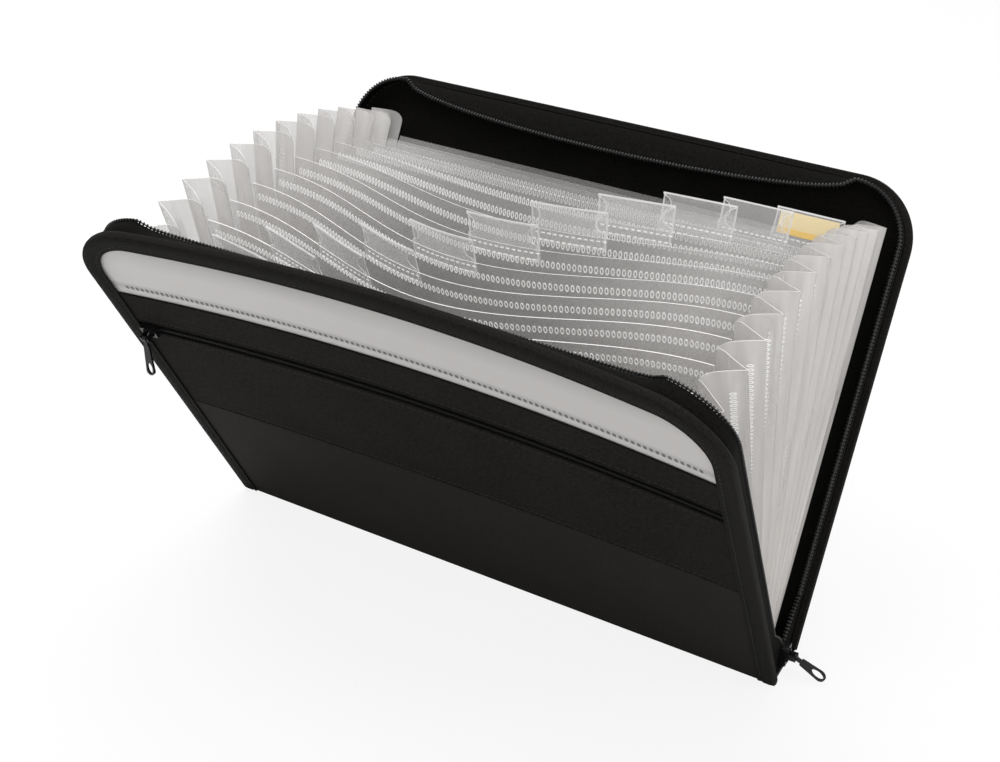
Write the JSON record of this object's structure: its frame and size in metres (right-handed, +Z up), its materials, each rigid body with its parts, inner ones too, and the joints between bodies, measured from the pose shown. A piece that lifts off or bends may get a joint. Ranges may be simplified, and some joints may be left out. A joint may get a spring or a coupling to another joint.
{
  "type": "expanding file folder",
  "caption": "Zip-round expanding file: two cloth covers hinged on a narrow base, a folded clear film bellows of tabbed pockets between them.",
  "frame": {"origin": "middle of the underside of the base, on the surface the folder stands on", "axes": "+X along the folder's width, +Y towards the back cover, +Z up"},
  "size_m": [0.368, 0.2662, 0.2344],
  "materials": {
    "nylon": "close black nylon weave",
    "lower_cloth": "smooth dark grey coated cloth",
    "lining": "black lining cloth",
    "board": "stiff board",
    "binding": "black ribbed tape",
    "zip_tape": "black zip tape",
    "zip_coil": "black moulded coil",
    "zip_metal": "black gloss paint",
    "window_film": "frosted film",
    "film": "clear matt film",
    "tab_film": "clear glossy film",
    "label_card": "pale yellow card"
  },
  "bodies": {
    "base": {"base_cloth": "nylon", "base_board": "board", "base_lining": "lining", "zip_gore_left": "nylon", "zip_gore_right": "nylon", "left_gusset": "film", "right_gusset": "film", "main_slider": "zip_metal", "divider_05": "film", "tab_05": "tab_film"},
    "front_cover": {"front_lower_panel": "lower_cloth", "front_pocket_panel": "nylon", "front_zip_facing": "nylon", "front_window": "window_film", "pocket_zip_tape": "zip_tape", "pocket_zip_coil": "zip_coil", "front_board": "board", "front_lining": "lining", "front_binding": "binding", "front_zip_tape": "zip_tape", "front_zip_coil": "zip_coil", "bellows_front_sheet": "film"},
    "back_cover": {"back_outer_cloth": "nylon", "back_board": "board", "back_lining": "lining", "back_binding": "binding", "back_zip_tape": "zip_tape", "back_zip_coil": "zip_coil", "bellows_back_sheet": "film"},
    "divider_01": {"divider_01": "film", "tab_01": "tab_film"},
    "divider_02": {"divider_02": "film", "tab_02": "tab_film"},
    "divider_03": {"divider_03": "film", "tab_03": "tab_film"},
    "divider_04": {"divider_04": "film", "tab_04": "tab_film"},
    "divider_06": {"divider_06": "film", "tab_06": "tab_film"},
    "divider_07": {"divider_07": "film", "tab_07": "tab_film"},
    "divider_08": {"divider_08": "film", "tab_08": "tab_film"},
    "divider_09": {"divider_09": "film", "tab_09": "tab_film"},
    "divider_10": {"divider_10": "film", "tab_10": "tab_film"},
    "divider_11": {"divider_11": "film", "tab_11": "tab_film", "tab_label": "label_card"},
    "pocket_slider": {"pocket_slider": "zip_metal"},
    "pocket_pull": {"pocket_pull": "zip_metal"},
    "main_pull": {"main_pull": "zip_metal"}
  },
  "joints": [
    {"name": "front_cover_hinge", "type": "hinge", "parent": "base", "child": "front_cover", "pos_m": [0, -0.015, 0], "axis": [1, 0, 0], "range_deg": [-25.2, 0], "deforming": ["left_gusset", "right_gusset", "zip_gore_left", "zip_gore_right", "divider_05", "tab_05", "front_zip_tape", "front_zip_coil"]},
    {"name": "back_cover_hinge", "type": "hinge", "parent": "base", "child": "back_cover", "pos_m": [0, 0.015, 0], "axis": [-1, 0, 0], "range_deg": [-29.3, 0]},
    {"name": "divider_01_fold", "type": "hinge", "parent": "base", "child": "divider_01", "pos_m": [0, -0.0095, 0.0039], "axis": [1, 0, 0], "range_deg": [-17.75, 0], "deforming": ["divider_01", "tab_01"]},
    {"name": "divider_02_fold", "type": "hinge", "parent": "base", "child": "divider_02", "pos_m": [0, -0.0076, 0.0039], "axis": [1, 0, 0], "range_deg": [-13.32, 0], "deforming": ["divider_02", "tab_02"]},
    {"name": "divider_03_fold", "type": "hinge", "parent": "base", "child": "divider_03", "pos_m": [0, -0.0057, 0.0039], "axis": [1, 0, 0], "range_deg": [-8.9, 0], "deforming": ["divider_03", "tab_03"]},
    {"name": "divider_04_fold", "type": "hinge", "parent": "base", "child": "divider_04", "pos_m": [0, -0.0038, 0.0039], "axis": [1, 0, 0], "range_deg": [-4.47, 0], "deforming": ["divider_04", "tab_04"]},
    {"name": "divider_06_fold", "type": "hinge", "parent": "base", "child": "divider_06", "pos_m": [0, 0, 0.0039], "axis": [-1, 0, 0], "range_deg": [-4.5, 0], "deforming": ["divider_06", "tab_06"]},
    {"name": "divider_07_fold", "type": "hinge", "parent": "base", "child": "divider_07", "pos_m": [0, 0.0019, 0.0039], "axis": [-1, 0, 0], "range_deg": [-8.95, 0], "deforming": ["divider_07", "tab_07"]},
    {"name": "divider_08_fold", "type": "hinge", "parent": "base", "child": "divider_08", "pos_m": [0, 0.0038, 0.0039], "axis": [-1, 0, 0], "range_deg": [-13.39, 0], "deforming": ["divider_08", "tab_08"]},
    {"name": "divider_09_fold", "type": "hinge", "parent": "base", "child": "divider_09", "pos_m": [0, 0.0057, 0.0039], "axis": [-1, 0, 0], "range_deg": [-17.84, 0], "deforming": ["divider_09", "tab_09"]},
    {"name": "divider_10_fold", "type": "hinge", "parent": "base", "child": "divider_10", "pos_m": [0, 0.0076, 0.0039], "axis": [-1, 0, 0], "range_deg": [-22.29, 0], "deforming": ["divider_10", "tab_10"]},
    {"name": "divider_11_fold", "type": "hinge", "parent": "base", "child": "divider_11", "pos_m": [0, 0.0095, 0.0039], "axis": [-1, 0, 0], "range_deg": [-26.74, 0], "deforming": ["divider_11", "tab_11", "tab_label"]},
    {"name": "pocket_zip_travel", "type": "hinge", "parent": "front_cover", "child": "pocket_slider", "pos_m": [0, -1.86335, -0.71446], "axis": [0, 0.4415, -0.8973], "range_deg": [0, 9.01]},
    {"name": "pocket_pull_swing", "type": "hinge", "parent": "pocket_slider", "child": "pocket_pull", "pos_m": [-0.1561, -0.09752, 0.15444], "axis": [0.9969, 0.0708, 0.0348], "range_deg": [-120, 25]},
    {"name": "main_pull_swing", "type": "hinge", "parent": "base", "child": "main_pull", "pos_m": [0.177, 0, 0.0098], "axis": [0, 1, 0], "range_deg": [-110, 60]}
  ],
  "couplings": [
    {"joint": "divider_01_fold", "follows": "front_cover_hinge", "ratio": 0.70229},
    {"joint": "divider_02_fold", "follows": "front_cover_hinge", "ratio": 0.52672},
    {"joint": "divider_03_fold", "follows": "front_cover_hinge", "ratio": 0.35115},
    {"joint": "divider_04_fold", "follows": "front_cover_hinge", "ratio": 0.17557},
    {"joint": "divider_06_fold", "follows": "back_cover_hinge", "ratio": 0.15182},
    {"joint": "divider_07_fold", "follows": "back_cover_hinge", "ratio": 0.30363},
    {"joint": "divider_08_fold", "follows": "back_cover_hinge", "ratio": 0.45545},
    {"joint": "divider_09_fold", "follows": "back_cover_hinge", "ratio": 0.60726},
    {"joint": "divider_10_fold", "follows": "back_cover_hinge", "ratio": 0.75908},
    {"joint": "divider_11_fold", "follows": "back_cover_hinge", "ratio": 0.91089}
  ]
}
